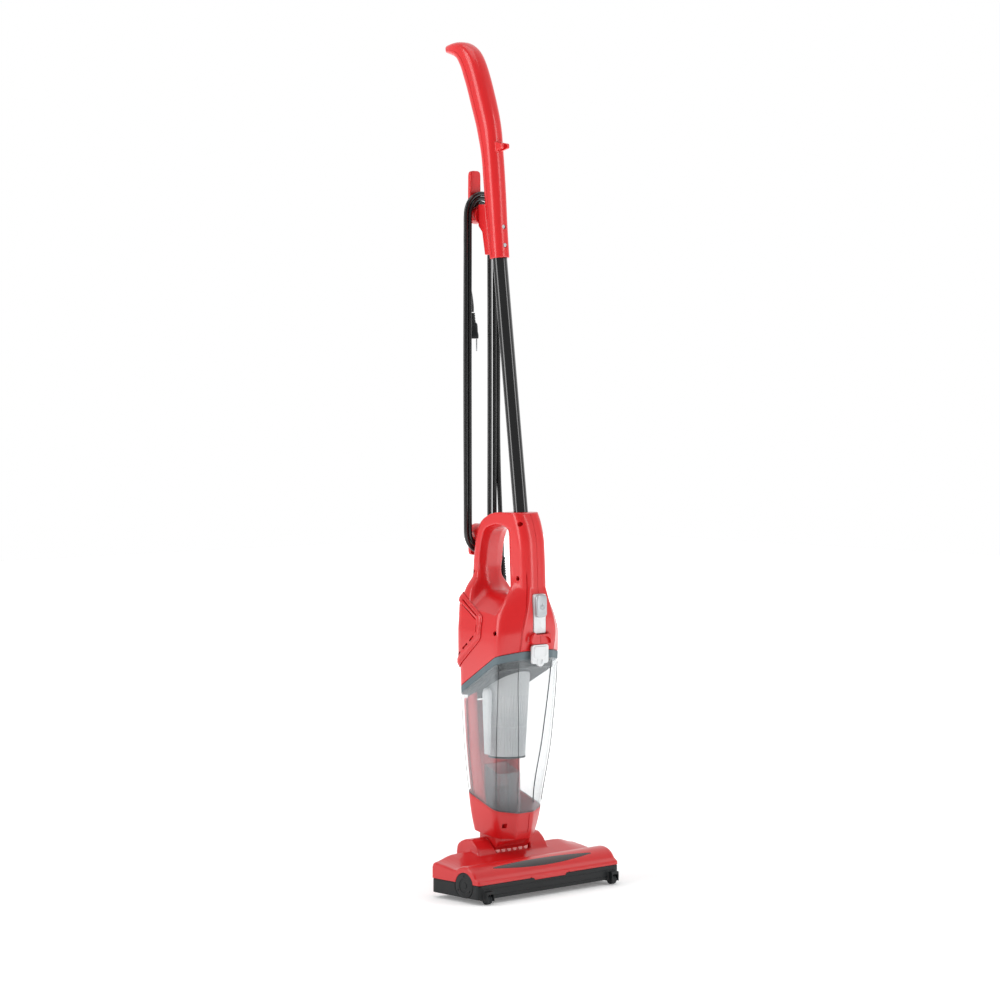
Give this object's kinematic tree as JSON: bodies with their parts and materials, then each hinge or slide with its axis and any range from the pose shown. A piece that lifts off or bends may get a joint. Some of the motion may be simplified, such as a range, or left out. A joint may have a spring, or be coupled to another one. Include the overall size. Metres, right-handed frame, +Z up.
{
  "type": "upright vacuum cleaner",
  "caption": "Corded upright stick vacuum: reclining floor head with brush roll, clear dust cup, motor unit with carrying loop, wand, two cord hooks and a wound cord.",
  "frame": {"origin": "on the floor under the middle of the solid pieces' bounding box, cord left out", "axes": "+Z up along the wand, -Y towards the front of the floor head, +X to the right seen from the front"},
  "size_m": [0.25, 0.2, 1.1074],
  "materials": {
    "red_shell": "glossy injection-moulded red",
    "black_plastic": "satin moulded black",
    "brush_bristle": "black roll with bristle rows",
    "smoked_window": "smoked clear plastic",
    "clear_plastic": "clear glossy plastic",
    "grey_seal": "satin grey seal",
    "filter_media": "pleated grey-white filter cloth",
    "grey_plastic": "moulded grey",
    "silver_plastic": "silver painted plastic",
    "steel": "zinc plated",
    "rubber": "matt rubber",
    "black_steel_tube": "gloss black coated tube",
    "cord_jacket": "satin black jacket",
    "brass": "nickelled brass"
  },
  "bodies": {
    "floor_head": {"head_cover": "red_shell", "head_base": "black_plastic", "brush_window": "smoked_window", "end_cap_left": "black_plastic", "end_cap_right": "black_plastic", "roller_axle_left": "steel", "roller_axle_right": "steel", "wheel_axle_left": "steel", "wheel_axle_right": "steel", "pivot_pin_left": "steel", "pivot_pin_right": "steel", "brush_motor": "steel", "drive_belt": "rubber"},
    "front_roller_left": {"front_roller_left": "rubber"},
    "front_roller_right": {"front_roller_right": "rubber"},
    "rear_wheel_left": {"rear_wheel_left": "rubber"},
    "rear_wheel_right": {"rear_wheel_right": "rubber"},
    "brush_roll": {"brush_roll": "brush_bristle"},
    "drive_pulley": {"drive_pulley": "brass"},
    "neck": {"neck": "red_shell"},
    "dust_cup": {"cup_base": "red_shell", "cup_shell": "clear_plastic", "inlet_duct": "clear_plastic"},
    "inlet_flap": {"inlet_flap": "rubber"},
    "cup_latch": {"cup_latch": "clear_plastic"},
    "motor_unit": {"housing_left": "red_shell", "housing_right": "red_shell", "seal_ring": "grey_seal", "filter_collar": "black_plastic", "motor_plate": "black_plastic", "vac_motor": "steel", "exhaust_cover": "red_shell", "exhaust_filter": "filter_media", "switch_plate": "silver_plastic", "lower_hook": "red_shell", "strain_relief": "black_plastic", "housing_screw_1": "steel", "housing_screw_2": "steel", "housing_screw_3": "steel", "housing_screw_4": "steel", "cord_lead": "cord_jacket"},
    "impeller": {"impeller": "grey_plastic"},
    "power_switch": {"power_switch": "silver_plastic"},
    "wand_release": {"wand_release": "black_plastic"},
    "filter": {"filter_screen": "filter_media", "filter_pleats": "filter_media"},
    "wand": {"wand_tube": "black_steel_tube", "handle_front": "red_shell", "handle_rear": "red_shell", "handle_screw_1": "steel", "handle_screw_2": "steel", "hook_bracket": "red_shell", "cord_winding": "cord_jacket", "cord_tail": "cord_jacket", "plug_body": "black_plastic", "plug_blade_front": "brass", "plug_blade_rear": "brass"},
    "cord_hook": {"cord_hook": "red_shell"}
  },
  "joints": [
    {"name": "brush_spin", "type": "hinge", "parent": "floor_head", "child": "brush_roll", "pos_m": [0, -0.064, 0.0215], "axis": [1, 0, 0], "continuous": true},
    {"name": "pulley_spin", "type": "hinge", "parent": "floor_head", "child": "drive_pulley", "pos_m": [-0.09, -0.022, 0.024], "axis": [1, 0, 0], "continuous": true},
    {"name": "front_roller_left_spin", "type": "hinge", "parent": "floor_head", "child": "front_roller_left", "pos_m": [-0.1115, -0.093, 0.006], "axis": [1, 0, 0], "continuous": true},
    {"name": "rear_wheel_left_spin", "type": "hinge", "parent": "floor_head", "child": "rear_wheel_left", "pos_m": [-0.048, 0.007, 0.013], "axis": [1, 0, 0], "continuous": true},
    {"name": "front_roller_right_spin", "type": "hinge", "parent": "floor_head", "child": "front_roller_right", "pos_m": [0.1115, -0.093, 0.006], "axis": [1, 0, 0], "continuous": true},
    {"name": "rear_wheel_right_spin", "type": "hinge", "parent": "floor_head", "child": "rear_wheel_right", "pos_m": [0.048, 0.007, 0.013], "axis": [1, 0, 0], "continuous": true},
    {"name": "recline", "type": "hinge", "parent": "floor_head", "child": "neck", "pos_m": [0, -0.001, 0.045], "axis": [-1, 0, 0], "range_deg": [0, 75]},
    {"name": "cup_lift", "type": "slide", "parent": "neck", "child": "dust_cup", "axis": [0, 0, 1], "range_m": [0, 0.045]},
    {"name": "motor_unit_lift", "type": "slide", "parent": "dust_cup", "child": "motor_unit", "axis": [0, 0, 1], "range_m": [0, 0.16]},
    {"name": "flap_swing", "type": "hinge", "parent": "dust_cup", "child": "inlet_flap", "pos_m": [0, 0.0089, 0.0917], "axis": [-1, 0, 0], "range_deg": [0, 65]},
    {"name": "latch_press", "type": "slide", "parent": "dust_cup", "child": "cup_latch", "axis": [0, 1, 0], "range_m": [0, 0.0018], "stiffness_N_per_m": 400},
    {"name": "impeller_spin", "type": "hinge", "parent": "motor_unit", "child": "impeller", "pos_m": [0, -0.01, 0.312], "axis": [0, 0, 1], "continuous": true},
    {"name": "switch_slide", "type": "slide", "parent": "motor_unit", "child": "power_switch", "axis": [0, 0, -1], "range_m": [0, 0.012]},
    {"name": "release_press", "type": "slide", "parent": "motor_unit", "child": "wand_release", "axis": [0, -1, 0], "range_m": [0, 0.0017], "stiffness_N_per_m": 400},
    {"name": "filter_pull", "type": "slide", "parent": "motor_unit", "child": "filter", "axis": [0, 0, -1], "range_m": [0, 0.006]},
    {"name": "wand_pull", "type": "slide", "parent": "motor_unit", "child": "wand", "axis": [0, 0.1198, 0.9928], "range_m": [0, 0.06], "deforming": ["cord_winding"]},
    {"name": "hook_swivel", "type": "hinge", "parent": "wand", "child": "cord_hook", "pos_m": [0, 0.044, 0.878], "axis": [0, 1, 0], "range_deg": [0, 180]}
  ],
  "couplings": [
    {"joint": "pulley_spin", "follows": "brush_spin", "ratio": 1.74}
  ]
}
